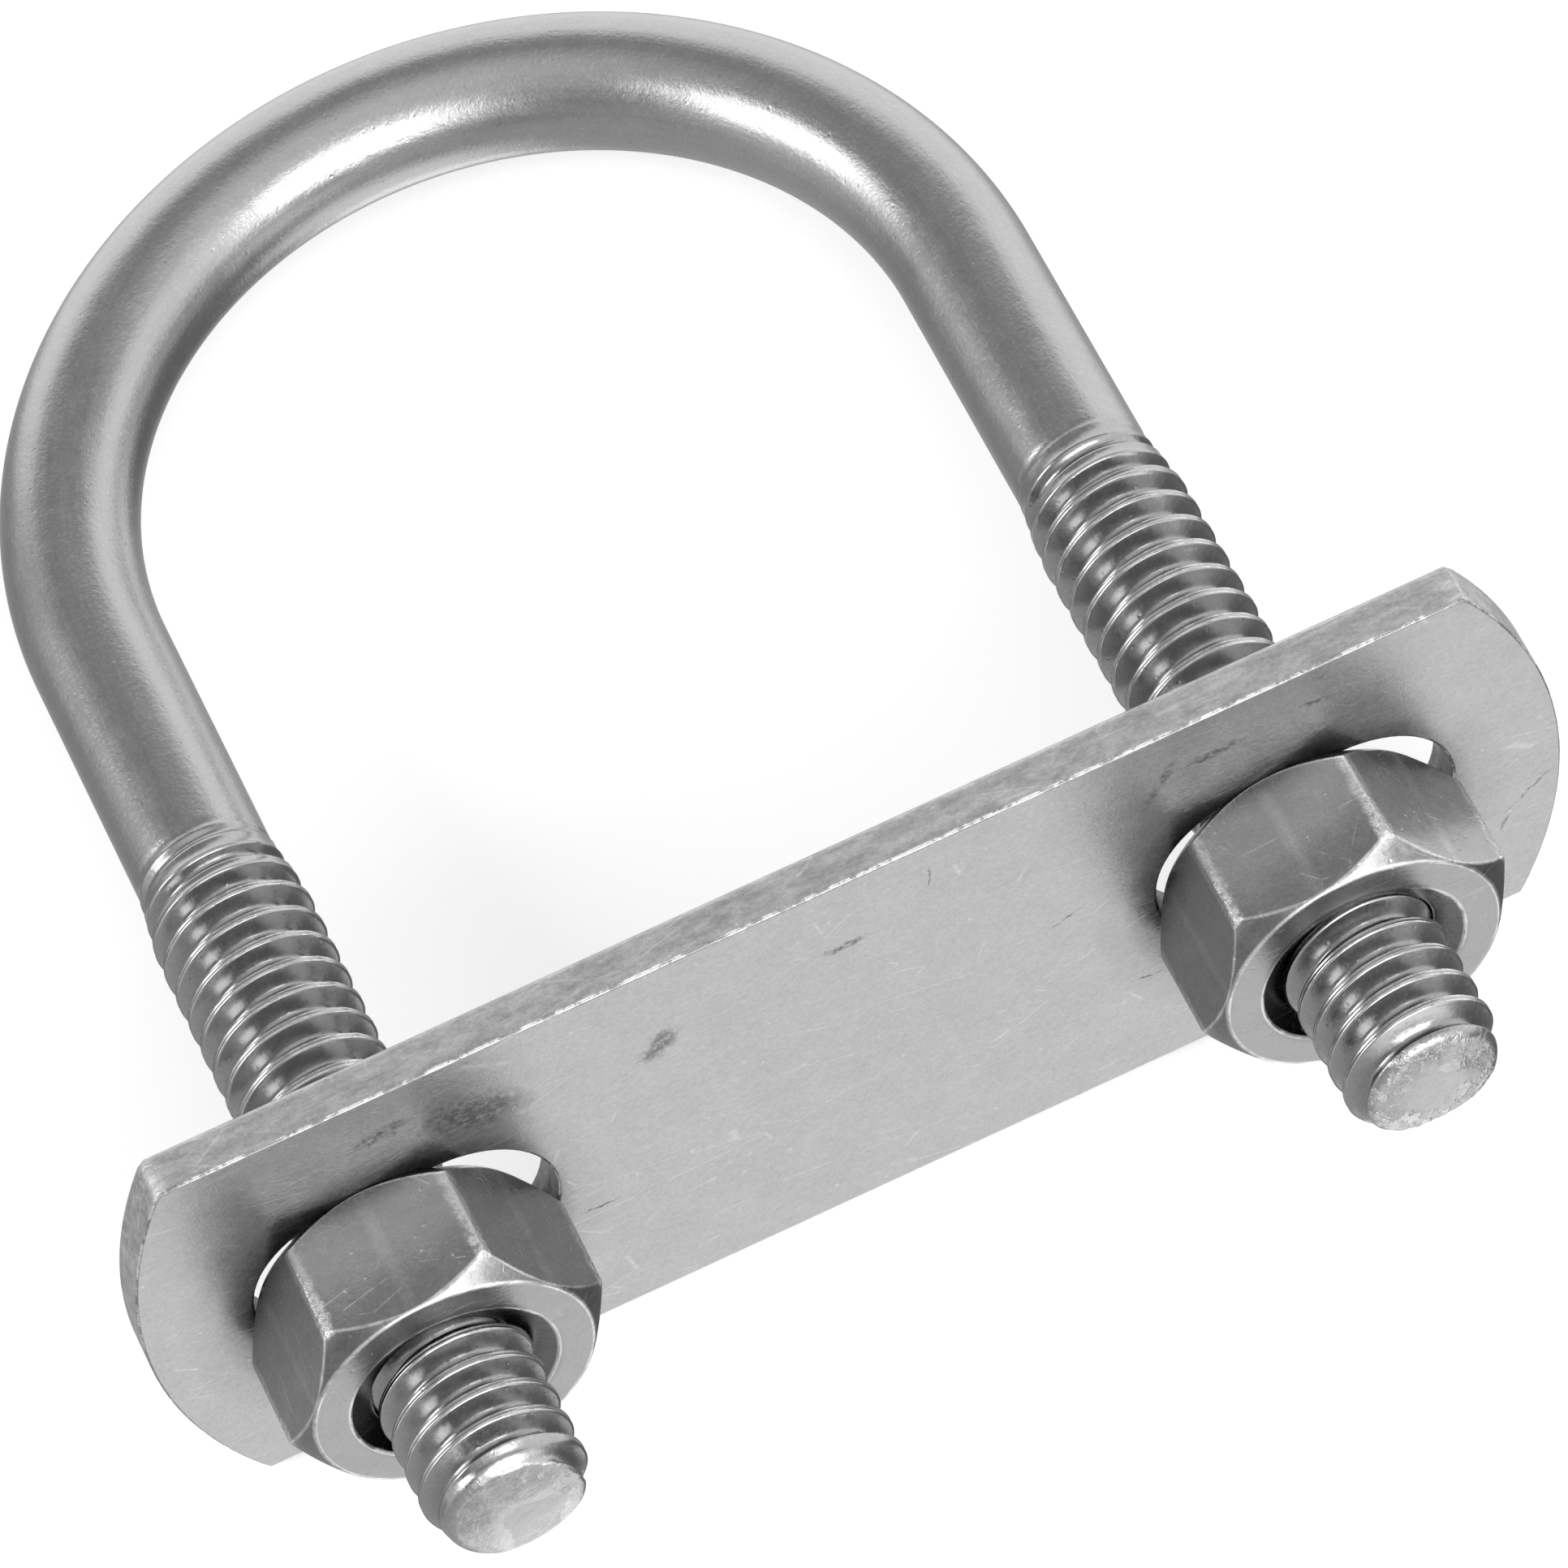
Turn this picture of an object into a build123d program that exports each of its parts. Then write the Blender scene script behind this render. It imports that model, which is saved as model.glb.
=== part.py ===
"""U-bolt with a slotted clamp plate and two hex nuts, 1/4-20 thread, millimetres.

Origin at the centre of the bow's half circle. X runs from leg to leg, Y along the
legs toward the crown of the bow, Z out of the plane of the U.
"""

from build123d import *
from math import cos, radians, sin, tan
import os

os.makedirs("parts", exist_ok=True)

# U-bolt
LEG_SPACING = 36.2
ROD_DIAMETER = 5.4
END_JOIN_Y = -9.0
THREAD_START_Y = -10.5
LEG_END_Y = -42.1
END_CHAMFER = 0.4
SHOULDER_LENGTH = 0.7

# 1/4-20 UNC thread
PITCH = 1.27
FLANK_ANGLE = 30
THREAD_MAJOR_RADIUS = 3.10
THREAD_ROOT_RADIUS = 2.40
CREST_FLAT = 0.16
FLANK_CLEARANCE = 0.08
CUT_OVERRUN = 0.12
GROOVE_TOP_Y = -10.405
LEFT_LEG_THREAD_TURN = 181.4

# Clamp plate
PLATE_BACK_Y = -28.6
PLATE_THICKNESS = 1.8
PLATE_WIDTH = 19.5
PLATE_CORNER_LENGTH = 51.2
PLATE_END_RADIUS = 19.5
PLATE_OFFSET_X = 0.45
PLATE_OFFSET_Z = 0.78
PLATE_BACK_EDGE_RADIUS = 0.3
SLOT_LENGTH = 11.9
SLOT_WIDTH = 7.9
SLOT_SPACING = 36.0

# Nuts
NUT_ACROSS_FLATS = 11.0
NUT_THICKNESS = 5.6
NUT_FACE_RADIUS = 5.42
NUT_CHAMFER_ANGLE = 45
NUT_BORE_RADIUS = 2.56
NUT_GROOVE_RADIUS = 3.22
NUT_SINK_RADIUS = 4.05
NUT_SINK_ANGLE = 30
LEFT_NUT_TURN = 5.1
RIGHT_NUT_TURN = 10.5

leg_x = LEG_SPACING / 2
rod_radius = ROD_DIAMETER / 2
plate_front_y = PLATE_BACK_Y - PLATE_THICKNESS
nut_front_y = plate_front_y - NUT_THICKNESS
nut_corner_radius = NUT_ACROSS_FLATS / 2 / cos(radians(30))
flank_slope = tan(radians(FLANK_ANGLE))
leg_down = (0, -1, 0)


def crest_width(radius):
    """Width of the bolt's thread ridge at a radius."""
    return CREST_FLAT + 2 * flank_slope * (THREAD_MAJOR_RADIUS - radius)


# One leg's threaded end, its Z toward the leg's end: shank, shoulder, rolled thread
groove_turns = 27
groove_inner_half = (PITCH - crest_width(THREAD_ROOT_RADIUS)) / 2
groove_depth = THREAD_MAJOR_RADIUS - THREAD_ROOT_RADIUS + CUT_OVERRUN
groove_outer_half = groove_inner_half + flank_slope * groove_depth
with BuildPart() as leg_groove:
    with BuildLine() as leg_helix:
        Helix(
            pitch=PITCH,
            height=groove_turns * PITCH,
            radius=THREAD_ROOT_RADIUS,
            center=(0, 0, END_JOIN_Y - GROOVE_TOP_Y),
        )
    with BuildSketch(
        Plane(origin=leg_helix.line @ 0, x_dir=(1, 0, 0), z_dir=leg_helix.line % 0)
    ):
        with BuildLine():
            Polyline(
                (0, -groove_inner_half),
                (groove_depth, -groove_outer_half),
                (groove_depth, groove_outer_half),
                (0, groove_inner_half),
                close=True,
            )
        make_face()
    sweep(path=leg_helix.line, is_frenet=True)

shoulder_top = END_JOIN_Y - THREAD_START_Y
end_length = END_JOIN_Y - LEG_END_Y
blank_length = end_length + 5 * PITCH
with BuildPart() as threaded_end:
    Cylinder(
        THREAD_MAJOR_RADIUS,
        blank_length,
        align=(Align.CENTER, Align.CENTER, Align.MIN),
    )
    add(leg_groove.part, mode=Mode.SUBTRACT)
    with BuildSketch(Plane.XZ):
        with BuildLine():
            Polyline(
                (0, 0),
                (rod_radius, 0),
                (rod_radius, shoulder_top),
                (THREAD_MAJOR_RADIUS, shoulder_top + SHOULDER_LENGTH),
                (THREAD_MAJOR_RADIUS, end_length - END_CHAMFER),
                (THREAD_MAJOR_RADIUS - END_CHAMFER, end_length),
                (0, end_length),
                close=True,
            )
        make_face()
    revolve(axis=Axis.Z, mode=Mode.INTERSECT)

# The groove inside a nut, which holds the legs' ridge with clearance on both flanks
nut_groove_turns = 7
nut_groove_floor_half = crest_width(NUT_GROOVE_RADIUS) / 2 + FLANK_CLEARANCE
nut_groove_start_radius = NUT_BORE_RADIUS - CUT_OVERRUN
nut_groove_depth = NUT_GROOVE_RADIUS - nut_groove_start_radius
nut_groove_mouth_half = nut_groove_floor_half + flank_slope * nut_groove_depth
with BuildPart() as nut_groove:
    with BuildLine() as nut_helix:
        Helix(
            pitch=PITCH,
            height=nut_groove_turns * PITCH,
            radius=nut_groove_start_radius,
            center=(0, 0, PITCH),
        )
    with BuildSketch(
        Plane(origin=nut_helix.line @ 0, x_dir=(1, 0, 0), z_dir=nut_helix.line % 0)
    ):
        with BuildLine():
            Polyline(
                (0, -nut_groove_mouth_half),
                (nut_groove_depth, -nut_groove_floor_half),
                (nut_groove_depth, nut_groove_floor_half),
                (0, nut_groove_mouth_half),
                close=True,
            )
        make_face()
    sweep(path=nut_helix.line, is_frenet=True)


# Threaded blank that both nuts are cut from, its thread in step with the right leg's
nut_blank_turns = nut_groove_turns + 2
with BuildPart() as nut_blank:
    Cylinder(
        NUT_ACROSS_FLATS,
        nut_blank_turns * PITCH,
        align=(Align.CENTER, Align.CENTER, Align.MIN),
    )
    Cylinder(
        NUT_BORE_RADIUS,
        nut_blank_turns * PITCH,
        align=(Align.CENTER, Align.CENTER, Align.MIN),
        mode=Mode.SUBTRACT,
    )
    add(nut_groove.part, mode=Mode.SUBTRACT)


def leg_plane(side, y, turn=0):
    """Plane across a leg, its Z toward the leg's end; side is -1 or +1."""
    x_dir = (cos(radians(turn)), 0, sin(radians(turn)))
    return Plane(origin=(side * leg_x, y, 0), x_dir=x_dir, z_dir=leg_down)


# U-bolt: rod bent round the bow, with a threaded end on each leg
with BuildPart() as u_bolt:
    with BuildLine() as centre_line:
        Line((-leg_x, END_JOIN_Y), (-leg_x, 0))
        ThreePointArc((-leg_x, 0), (0, leg_x), (leg_x, 0))
        Line((leg_x, 0), (leg_x, END_JOIN_Y))
    with BuildSketch(Plane.XZ.offset(-END_JOIN_Y)):
        with Locations((-leg_x, 0)):
            Circle(rod_radius)
    sweep(path=centre_line.line)
    with Locations(leg_plane(-1, END_JOIN_Y, LEFT_LEG_THREAD_TURN), leg_plane(1, END_JOIN_Y)):
        add(threaded_end.part)

# Clamp plate: flat bar with two slots and rounded ends
plate_plane = Plane(
    origin=(PLATE_OFFSET_X, PLATE_BACK_Y, PLATE_OFFSET_Z), x_dir=(1, 0, 0), z_dir=leg_down
)
half_length = PLATE_CORNER_LENGTH / 2
half_width = PLATE_WIDTH / 2
end_bulge = PLATE_END_RADIUS - (PLATE_END_RADIUS**2 - half_width**2) ** 0.5
with BuildPart() as plate:
    with BuildSketch(plate_plane):
        with BuildLine():
            Line((-half_length, -half_width), (half_length, -half_width))
            ThreePointArc(
                (half_length, -half_width),
                (half_length + end_bulge, 0),
                (half_length, half_width),
            )
            Line((half_length, half_width), (-half_length, half_width))
            ThreePointArc(
                (-half_length, half_width),
                (-half_length - end_bulge, 0),
                (-half_length, -half_width),
            )
        make_face()
        with GridLocations(SLOT_SPACING, 0, 2, 1):
            SlotOverall(SLOT_LENGTH, SLOT_WIDTH, mode=Mode.SUBTRACT)
    extrude(amount=PLATE_THICKNESS)
    back_edges = plate.faces().sort_by(Axis.Y)[-1].outer_wire().edges()
    fillet(back_edges.filter_by(GeomType.LINE), PLATE_BACK_EDGE_RADIUS)

# Nuts: chamfered hexagons on the legs, screwed against the plate
chamfer_slope = tan(radians(NUT_CHAMFER_ANGLE))
chamfer_height = (nut_corner_radius - NUT_FACE_RADIUS) * chamfer_slope
sink_depth = (NUT_SINK_RADIUS - NUT_BORE_RADIUS) * tan(radians(NUT_SINK_ANGLE))
turns_above_plate = 14
blank_top_y = GROOVE_TOP_Y - (turns_above_plate - 0.5) * PITCH


def nut_profile():
    """Half section of a nut's envelope: radius along X, height below its seat along -Y."""
    return Polyline(
        (NUT_SINK_RADIUS, 0),
        (NUT_FACE_RADIUS, 0),
        (nut_corner_radius, -chamfer_height),
        (nut_corner_radius, chamfer_height - NUT_THICKNESS),
        (NUT_FACE_RADIUS, -NUT_THICKNESS),
        (NUT_SINK_RADIUS, -NUT_THICKNESS),
        (NUT_BORE_RADIUS, sink_depth - NUT_THICKNESS),
        (NUT_BORE_RADIUS, -sink_depth),
        close=True,
    )


with BuildPart() as nut_left:
    with Locations(leg_plane(-1, blank_top_y, LEFT_LEG_THREAD_TURN)):
        add(nut_blank.part)
    with BuildSketch(leg_plane(-1, plate_front_y, LEFT_NUT_TURN)):
        RegularPolygon(NUT_ACROSS_FLATS / 2, 6, major_radius=False)
    extrude(amount=NUT_THICKNESS, mode=Mode.INTERSECT)
    with BuildSketch(Plane(origin=(-leg_x, plate_front_y, 0))):
        with BuildLine():
            nut_profile()
        make_face()
    revolve(axis=Axis((-leg_x, 0, 0), leg_down), mode=Mode.INTERSECT)

with BuildPart() as nut_right:
    with Locations(leg_plane(1, blank_top_y)):
        add(nut_blank.part)
    with BuildSketch(leg_plane(1, plate_front_y, RIGHT_NUT_TURN)):
        RegularPolygon(NUT_ACROSS_FLATS / 2, 6, major_radius=False)
    extrude(amount=NUT_THICKNESS, mode=Mode.INTERSECT)
    with BuildSketch(Plane(origin=(leg_x, plate_front_y, 0))):
        with BuildLine():
            nut_profile()
        make_face()
    revolve(axis=Axis((leg_x, 0, 0), leg_down), mode=Mode.INTERSECT)

u_bolt.part.label = "u_bolt"
plate.part.label = "plate"
nut_left.part.label = "nut_left"
nut_right.part.label = "nut_right"

export_step(u_bolt.part, "parts/u_bolt.step")
export_step(plate.part, "parts/plate.step")
export_step(nut_left.part, "parts/nut_left.step")
export_step(nut_right.part, "parts/nut_right.step")
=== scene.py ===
"""Looks of the U-bolt, its clamp plate and its two nuts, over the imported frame. Metres."""
import math

import bmesh
import bpy
import numpy as np
from mathutils import Matrix, Vector, noise


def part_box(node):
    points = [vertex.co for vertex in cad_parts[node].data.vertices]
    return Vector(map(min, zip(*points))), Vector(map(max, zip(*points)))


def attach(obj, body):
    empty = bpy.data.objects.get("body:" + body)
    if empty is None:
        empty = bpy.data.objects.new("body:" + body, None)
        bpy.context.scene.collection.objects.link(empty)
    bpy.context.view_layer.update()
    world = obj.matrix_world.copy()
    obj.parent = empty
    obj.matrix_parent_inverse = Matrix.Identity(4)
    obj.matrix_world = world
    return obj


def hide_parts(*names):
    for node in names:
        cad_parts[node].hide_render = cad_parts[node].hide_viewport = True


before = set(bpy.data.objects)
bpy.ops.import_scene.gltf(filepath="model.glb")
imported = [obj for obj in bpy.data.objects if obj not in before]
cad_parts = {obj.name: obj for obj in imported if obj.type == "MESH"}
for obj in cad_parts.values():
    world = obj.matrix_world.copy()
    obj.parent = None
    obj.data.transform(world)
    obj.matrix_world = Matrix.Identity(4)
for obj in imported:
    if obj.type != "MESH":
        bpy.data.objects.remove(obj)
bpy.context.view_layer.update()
MM = 0.001
TAU = 2 * math.pi

# ---------------------------------------------------------------- sizes, in mm
bolt_low, bolt_high = (np.array(corner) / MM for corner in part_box("u_bolt"))
plate_low, plate_high = (np.array(corner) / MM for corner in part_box("plate"))
nut_low, nut_high = (np.array(corner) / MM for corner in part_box("nut_right"))

PITCH = 1.27
MAJOR = bolt_high[2]                      # thread crest radius
ROOT = 2.38                               # thread root radius
ROD = 2.70                                # plain rod radius
LEG_X = bolt_high[0] - MAJOR
LEG_END_Y = bolt_low[1]
THREAD_START_Y = -10.5
RIGHT_CREST_Y = -11.04                    # a crest of the right leg at its +X side
LEFT_TURN = math.radians(181.4)           # the left thread is the right one turned by this

PLATE_FRONT_Y = plate_low[1]
PLATE_BACK_Y = plate_high[1]
PLATE_X = (plate_low[0] + plate_high[0]) / 2
PLATE_Z = (plate_low[2] + plate_high[2]) / 2
PLATE_HALF_WIDTH = (plate_high[2] - plate_low[2]) / 2
PLATE_HALF_LENGTH = 25.6
SLOT_HALF_SPACING = 18.0
SLOT_RADIUS = 3.95
SLOT_HALF_LENGTH = 5.95

NUT_FRONT_Y = nut_low[1]
NUT_BACK_Y = nut_high[1]
NUT_THICKNESS = NUT_BACK_Y - NUT_FRONT_Y
NUT_APOTHEM = 5.5
NUT_FACE_RADIUS = 5.42
NUT_SINK_RADIUS = 4.05
NUT_BORE = 2.56
NUT_THREAD_MAJOR = 3.22
NUT_GROOVE_HALF = 0.10                    # half width of the flat at the groove's bottom
NUT_TURNS = {"nut_left": math.radians(5.1), "nut_right": math.radians(10.5)}


# ---------------------------------------------------------------- mesh helpers
class Builder:
    """Collects points and quads in mm, then welds them into one closed mesh in metres."""

    def __init__(self):
        self.points, self.faces, self.count = [], [], 0

    def add(self, points, faces):
        points = np.asarray(points, float).reshape(-1, 3)
        self.points.append(points)
        self.faces += [[i + self.count for i in face] for face in faces]
        self.count += len(points)

    def grid(self, points, flip=False):
        """points[row, column, 3] as quads."""
        points = np.asarray(points, float)
        rows, columns = points.shape[:2]
        index = np.arange(rows * columns).reshape(rows, columns)
        quads = np.stack(
            [index[:-1, :-1], index[:-1, 1:], index[1:, 1:], index[1:, :-1]], axis=-1
        ).reshape(-1, 4)
        if flip:
            quads = quads[:, ::-1]
        self.add(points, quads.tolist())

    def finish(self, name, weld=2e-4):
        mesh = bpy.data.meshes.new(name)
        mesh.from_pydata((np.concatenate(self.points) * MM).tolist(), [], self.faces)
        bm = bmesh.new()
        bm.from_mesh(mesh)
        bmesh.ops.remove_doubles(bm, verts=bm.verts, dist=weld * MM)
        bmesh.ops.dissolve_degenerate(bm, edges=bm.edges, dist=weld * MM)
        bmesh.ops.recalc_face_normals(bm, faces=bm.faces)
        for face in bm.faces:
            face.smooth = True
        bm.to_mesh(mesh)
        bm.free()
        obj = bpy.data.objects.new(name, mesh)
        bpy.context.scene.collection.objects.link(obj)
        return obj


def smoothstep(low, high, x):
    t = np.clip((x - low) / (high - low), 0, 1)
    return t * t * (3 - 2 * t)


def jitter(points, scale, amount):
    """Radial waviness for each point, from Blender's own noise, in mm."""
    flat = np.asarray(points).reshape(-1, 3)
    values = [noise.noise(Vector(p) * scale) for p in flat]
    return np.array(values).reshape(np.asarray(points).shape[:-1]) * amount


def thread_grid(centre_x, angles, top_y, bottom_y, first_crest_y, offsets, radius_of):
    """Points on a thread whose rows follow the helix. Rows outside the ends collapse onto them.

    offsets are the row places inside one pitch, 0 at the crest, and radius_of(y, offset, angle)
    gives the radius. bottom_y may differ from angle to angle.
    """
    turns = int((top_y - np.min(bottom_y)) / PITCH) + 4
    crest = first_crest_y + PITCH * math.ceil((top_y - first_crest_y) / PITCH + 1)
    starts = crest - PITCH * np.arange(turns)
    rows_y = (starts[:, None] - offsets[None, :]).reshape(-1)
    rows_offset = np.tile(offsets, turns)
    y = rows_y[:, None] - PITCH * angles[None, :] / TAU
    y = np.clip(y, bottom_y, top_y)
    radius = radius_of(y, rows_offset[:, None] + 0 * y, angles[None, :] + 0 * y)
    x = centre_x + radius * np.cos(angles)[None, :]
    z = radius * np.sin(angles)[None, :]
    return np.stack([x, y, z], axis=-1)


# ---------------------------------------------------------------- U-bolt
ROUND = 72                                # points round the rod
RUN_OUT = 2.9 * PITCH                     # the thread reaches its full depth over this length
CLOSING = 1.15                            # the lips take this much longer than that to close
FLANK_POWER, ROOT_POWER = 1.7, 0.7        # how round the flanks are, and how soon the root falls
CREST_HALF = (0.40, 0.105)                # half width between the crest's two lips, start and full
FOLD = 0.035                              # how far the seam between the lips dips
END_RADIUS, END_ROUND = 2.31, 0.45        # the sheared end's flat, and its rolled-over rim
END_SWELL, END_TAPER = 0.42, 0.75         # growth over the rim, then slope of the cone behind it
WOBBLE = 0.02                             # deepest dent of the thread's skin
BOW_RINGS, LEG_RINGS = 145, 8
# Facets of a sheared end: direction in degrees, distance from the middle, slope
FACETS = ((35, 0.4, 0.15), (215, 0.9, 0.11), (110, 1.0, 0.21), (-40, 1.3, 0.19))
ring_angles = np.linspace(0, TAU, ROUND + 1)
thread_half = np.array([0, 0.05, 0.105, 0.15, 0.21, 0.28, 0.36, 0.45, 0.54])
thread_offsets = np.concatenate([thread_half, [PITCH / 2], PITCH - thread_half[:0:-1]])


def end_rim(angle):
    """Radius of a sheared end's ragged rim."""
    return END_RADIUS + 0.04 * np.sin(angle + 0.8) + 0.02 * np.sin(3 * angle + 2)


def leg_radius(height, y, offset, angle):
    """Rolled thread: its two lips start wide apart and shallow, and close into one crest.

    height is how far each point stands above the sheared end.
    """
    depth = smoothstep(0, RUN_OUT, THREAD_START_Y - y)
    closing = smoothstep(0, RUN_OUT * CLOSING, THREAD_START_Y - y)
    half = CREST_HALF[0] + closing * (CREST_HALF[1] - CREST_HALF[0])
    lip = ROD + depth * (MAJOR - ROD)
    root = ROD + depth ** ROOT_POWER * (ROOT - ROD)
    d = np.minimum(offset, PITCH - offset)
    t = np.clip((d - half) / (PITCH / 2 - half), 0, 1)
    started = smoothstep(0, 0.35 * PITCH, THREAD_START_Y - y)
    seam = FOLD * started * (1 - np.clip(d / half, 0, 1) ** 2)
    radius = root + (lip - root) * (1 - t) ** FLANK_POWER - seam
    curve = np.sqrt(1 - (1 - np.clip(height / END_ROUND, 0, 1)) ** 2)
    cone = END_TAPER * np.maximum(height - END_ROUND, 0)
    limit = end_rim(angle) + END_SWELL * curve + cone
    return np.minimum(radius, limit)


def shear(points, side):
    """How far the sheared end stands back at each point, in shallow facets."""
    back = 0.01
    for lean, start, slope in FACETS:
        turn = math.radians(lean - 70 * side)
        from_axis = points[..., 0] - side * LEG_X
        across = from_axis * math.cos(turn) + points[..., 2] * math.sin(turn)
        back = back + np.maximum(across - start, 0) * slope
    return back


def end_face(builder, rim, side):
    """Rings inside the rim of a sheared end."""
    centre = rim[:-1].mean(axis=0)
    rings = [rim]
    for share in (0.96, 0.88, 0.78, 0.64, 0.5, 0.36, 0.22, 0.1, 0.0):
        ring = centre + (rim - centre) * share
        dent = jitter(ring[:-1] * [1, 0, 1], 1.1, 0.02 * (1 - share))
        ring[:, 1] = LEG_END_Y + shear(ring, side)
        ring[:-1, 1] += np.abs(dent)
        ring[-1] = ring[0]
        rings.append(ring)
    rings[-1][:] = rings[-1][0]
    builder.grid(np.array(rings))


bolt = Builder()
for side in (-1, 1):
    crest_y = RIGHT_CREST_Y if side > 0 else RIGHT_CREST_Y + PITCH * LEFT_TURN / TAU
    axis = np.array([side * LEG_X, 0, 0])
    spokes = np.stack([np.cos(ring_angles), 0 * ring_angles, np.sin(ring_angles)], axis=-1)
    low = LEG_END_Y + shear(axis + spokes * end_rim(ring_angles)[:, None], side)
    points = thread_grid(
        side * LEG_X, ring_angles, THREAD_START_Y, low, crest_y, thread_offsets,
        lambda y, offset, angle: leg_radius(y - low, y, offset, angle),
    )
    out = (points - axis) * [1, 0, 1]
    out /= np.linalg.norm(out, axis=-1, keepdims=True)
    wobble = np.minimum(jitter(points, 0.9, WOBBLE), 0)
    wobble *= smoothstep(0, 2, THREAD_START_Y - points[..., 1])
    wobble *= smoothstep(0, 0.4, points[..., 1] - low)
    points = points + out * wobble[..., None]
    bolt.grid(points)
    end_face(bolt, points[-1].copy(), side)

legs_y = np.linspace(THREAD_START_Y, 0, LEG_RINGS)
bow = np.linspace(math.pi, 0, BOW_RINGS)
path = [((-LEG_X, y), (-1.0, 0.0)) for y in legs_y[:-1]]
path += [((LEG_X * math.cos(a), LEG_X * math.sin(a)), (math.cos(a), math.sin(a))) for a in bow]
path += [((LEG_X, y), (1.0, 0.0)) for y in legs_y[-2::-1]]
rings = []
for (x, y), (nx, ny) in path:
    ring = np.zeros((ROUND + 1, 3))
    ring[:, 0] = x + ROD * np.cos(ring_angles) * nx
    ring[:, 1] = y + ROD * np.cos(ring_angles) * ny
    ring[:, 2] = ROD * np.sin(ring_angles)
    rings.append(ring)
bolt.grid(np.array(rings))
bolt_skin = bolt.finish("u_bolt_rod")

# ---------------------------------------------------------------- nuts
CORNER_ROUND = 0.20                       # of the six upright corners
EDGE_ROUND = 0.13                         # of the chamfer's edges
SLOPE_60 = math.sqrt(3)                   # flanks and countersinks stand at 60 degrees
inner_corner = (NUT_APOTHEM - CORNER_ROUND) / math.cos(math.pi / 6)
tangent = math.atan2(
    CORNER_ROUND * math.sin(math.pi / 6), inner_corner + CORNER_ROUND * math.cos(math.pi / 6)
)
steps = np.concatenate(
    [np.linspace(0, tangent, 5), np.linspace(tangent, math.pi / 6, 10)[1:]]
)
column_offsets = np.concatenate([-steps[:0:-1], steps[:-1]])


def hexagon(delta):
    """Radius of the rounded hexagon at an angle from a corner."""
    delta = np.abs(delta)
    arc = inner_corner * np.cos(delta) + np.sqrt(
        np.maximum(CORNER_ROUND**2 - (inner_corner * np.sin(delta)) ** 2, 0)
    )
    flat = NUT_APOTHEM / np.cos(math.pi / 6 - delta)
    return np.where(delta < tangent, arc, flat)


def rounded(corners, reach, between):
    """A polyline with its corners eased. between gives the points inside each straight run."""
    corners = [np.array(c, float) for c in corners]
    ends = []
    for before, here, after in zip(corners, corners[1:], corners[2:]):
        back, ahead = before - here, after - here
        r = min(reach, 0.42 * np.linalg.norm(back), 0.42 * np.linalg.norm(ahead))
        start = here + back / np.linalg.norm(back) * r
        stop = here + ahead / np.linalg.norm(ahead) * r
        ends.append((start, here, stop))
    line = [corners[0]]
    for number, (start, here, stop) in enumerate(ends):
        origin = line[-1]
        line += [origin + (start - origin) * t for t in np.linspace(0, 1, between[number] + 2)[1:]]
        line += [
            (1 - t) ** 2 * start + 2 * t * (1 - t) * here + t * t * stop
            for t in np.linspace(0, 1, 6)[1:]
        ]
    origin = line[-1]
    line += [
        origin + (corners[-1] - origin) * t for t in np.linspace(0, 1, between[-1] + 2)[1:]
    ]
    return np.array(line)


bore_half = np.array([0, 0.10, 0.16, 0.24, 0.32, 0.40, 0.47, 0.53])
bore_offsets = np.concatenate([bore_half, [PITCH / 2], PITCH - bore_half[:0:-1]])


def bore_radius(y, offset, angle):
    """Cut thread of the nut, opened by the countersinks at both faces."""
    d = np.minimum(offset, PITCH - offset)
    flank = NUT_THREAD_MAJOR - (d - NUT_GROOVE_HALF) * SLOPE_60
    radius = np.clip(flank, NUT_BORE, NUT_THREAD_MAJOR)
    depth = np.minimum(y - NUT_FRONT_Y, NUT_BACK_Y - y)
    return np.maximum(radius, NUT_SINK_RADIUS - depth * SLOPE_60)


def make_nut(name, side):
    columns = np.concatenate(
        [NUT_TURNS[name] + k * math.pi / 3 + column_offsets for k in range(6)]
    )
    deltas = np.tile(column_offsets, 6)
    columns = np.append(columns, columns[0] + TAU)
    deltas = np.append(deltas, deltas[0])
    nut = Builder()
    sheets = []
    for angle, delta in zip(columns, deltas):
        reach = float(hexagon(delta))
        drop = reach - NUT_FACE_RADIUS
        line = rounded(
            [
                (NUT_SINK_RADIUS, 0),
                (NUT_FACE_RADIUS, 0),
                (reach, drop),
                (reach, NUT_THICKNESS - drop),
                (NUT_FACE_RADIUS, NUT_THICKNESS),
                (NUT_SINK_RADIUS, NUT_THICKNESS),
            ],
            EDGE_ROUND,
            (4, 4, 7, 4, 4),
        )
        x = side * LEG_X + line[:, 0] * math.cos(angle)
        z = line[:, 0] * math.sin(angle)
        sheets.append(np.stack([x, NUT_BACK_Y - line[:, 1], z], axis=-1))
    nut.grid(np.array(sheets))
    crest_y = RIGHT_CREST_Y if side > 0 else RIGHT_CREST_Y + PITCH * LEFT_TURN / TAU
    nut.grid(
        thread_grid(
            side * LEG_X, columns, NUT_BACK_Y, NUT_FRONT_Y, crest_y, bore_offsets, bore_radius
        ),
        flip=True,
    )
    return nut.finish(name + "_body")


nut_pieces = {"nut_left": make_nut("nut_left", -1), "nut_right": make_nut("nut_right", 1)}

# ---------------------------------------------------------------- clamp plate
bulge = (plate_high[0] - plate_low[0]) / 2 - PLATE_HALF_LENGTH
end_radius = (PLATE_HALF_WIDTH**2 + bulge**2) / (2 * bulge)
end_angle = math.asin(PLATE_HALF_WIDTH / end_radius)
end_centre = PLATE_HALF_LENGTH + bulge - end_radius


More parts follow.
